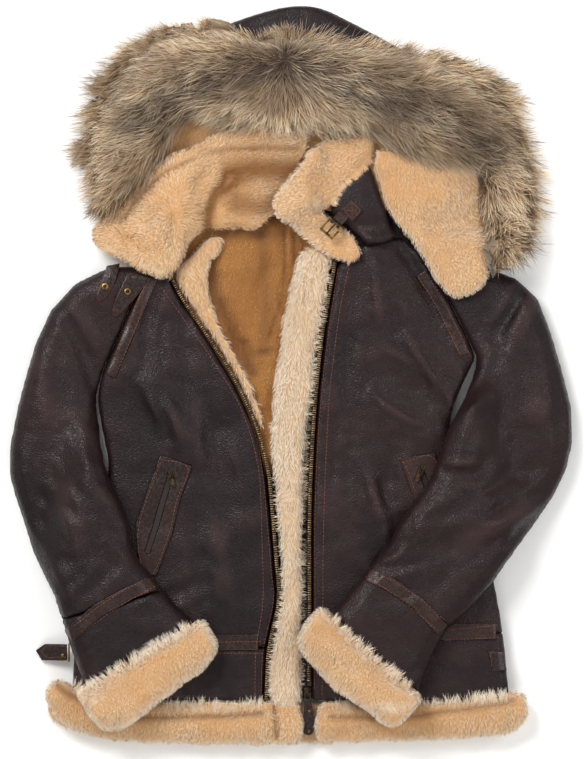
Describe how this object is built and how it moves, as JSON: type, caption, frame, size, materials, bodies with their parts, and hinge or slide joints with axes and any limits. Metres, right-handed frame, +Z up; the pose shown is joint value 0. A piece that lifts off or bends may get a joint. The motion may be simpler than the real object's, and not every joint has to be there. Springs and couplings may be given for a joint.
{
  "type": "hooded shearling jacket",
  "caption": "Hooded shearling flying jacket laid flat with its front open, fur round the hood and fleece at collar, cuffs and hem.",
  "frame": {"origin": "centre of the bounding box's footprint, on the surface that the jacket lies on", "axes": "+Z up from the surface, +Y from the hem to the hood, +X towards the wearer's left sleeve"},
  "size_m": [0.6774, 0.887, 0.0918],
  "materials": {
    "leather": "dark brown sheepskin skin side, semi-gloss with a fine grain",
    "trim_leather": "dark brown glossy tape and welt leather with rust edges",
    "strap_leather": "near black strap leather, glossy",
    "honey_fleece": "honey tan clipped wool, matt",
    "cream_fleece": "cream clipped wool, matt",
    "lining_fleece": "golden brown short wool, matt",
    "long_fur": "grey brown long guard hair with dark tips",
    "zip_tape": "dark woven tape with dark metal teeth",
    "antique_brass": "antique brass, worn"
  },
  "bodies": {
    "jacket": {"back": "lining_fleece", "back_hem_band": "leather", "front_right": "leather", "front_left": "leather", "hem_band_right": "leather", "hem_band_left": "leather", "hem_fleece_back": "honey_fleece", "hem_fleece_right": "honey_fleece", "hem_fleece_left": "honey_fleece", "facing_right": "cream_fleece", "facing_left": "cream_fleece", "zip_right": "zip_tape", "zip_left": "zip_tape", "waist_tape_right": "trim_leather", "waist_tape_left": "trim_leather", "armhole_tape_right": "trim_leather", "armhole_tape_left": "trim_leather", "pocket_welt_right": "trim_leather", "pocket_zip_right": "zip_tape", "pocket_welt_left": "trim_leather", "pocket_zip_left": "zip_tape", "sleeve_right_under": "leather", "sleeve_right_upper": "leather", "cuff_panel_right": "leather", "cuff_tape_right": "trim_leather", "cuff_fleece_right": "honey_fleece", "sleeve_left_under": "leather", "sleeve_left_upper": "leather", "cuff_panel_left": "leather", "cuff_tape_left": "trim_leather", "cuff_fleece_left": "honey_fleece", "hood_back": "leather", "hood_lining": "cream_fleece", "hood_crown": "leather", "collar_back": "honey_fleece", "throat_strap_upper": "strap_leather", "throat_strap_lower": "strap_leather", "throat_eyelet_upper": "antique_brass", "throat_eyelet_lower": "antique_brass", "collar_right": "honey_fleece", "collar_left_skin": "leather", "collar_left_roll": "honey_fleece", "hood_lobe_left": "cream_fleece", "ruff_right": "long_fur", "ruff_top": "long_fur", "ruff_left": "long_fur", "side_strap": "strap_leather", "side_buckle_bar": "antique_brass", "side_tab": "trim_leather", "zip_slider_main": "antique_brass", "zip_slider_pocket_right": "antique_brass", "zip_slider_pocket_left": "antique_brass", "throat_patch": "trim_leather", "throat_chape": "trim_leather"},
    "main_pull": {"zip_pull_main": "strap_leather"},
    "pocket_pull_right": {"zip_pull_pocket_right": "antique_brass"},
    "pocket_pull_left": {"zip_pull_pocket_left": "antique_brass"},
    "buckle_frame": {"throat_frame": "antique_brass"},
    "buckle_prong": {"throat_prong": "antique_brass"}
  },
  "joints": [
    {"name": "main_pull_hinge", "type": "hinge", "parent": "jacket", "child": "main_pull", "pos_m": [0.01972, -0.3815, 0.025], "axis": [-0.9998, -0.02, 0], "range_deg": [0, 100]},
    {"name": "pocket_pull_right_hinge", "type": "hinge", "parent": "jacket", "child": "pocket_pull_right", "pos_m": [-0.14538, -0.1185, 0.035], "axis": [-0.9553, -0.2955, 0], "range_deg": [0, 120]},
    {"name": "pocket_pull_left_hinge", "type": "hinge", "parent": "jacket", "child": "pocket_pull_left", "pos_m": [0.15612, -0.1125, 0.03514], "axis": [-0.9131, 0.4078, 0], "range_deg": [0, 120]},
    {"name": "buckle_frame_hinge", "type": "hinge", "parent": "jacket", "child": "buckle_frame", "pos_m": [0.05312, 0.1815, 0.0522], "axis": [-0.7518, 0.6594, 0], "range_deg": [0, 60]},
    {"name": "buckle_prong_hinge", "type": "hinge", "parent": "buckle_frame", "child": "buckle_prong", "pos_m": [0.05312, 0.1815, 0.0522], "axis": [-0.7518, 0.6594, 0], "range_deg": [0, 50]}
  ]
}
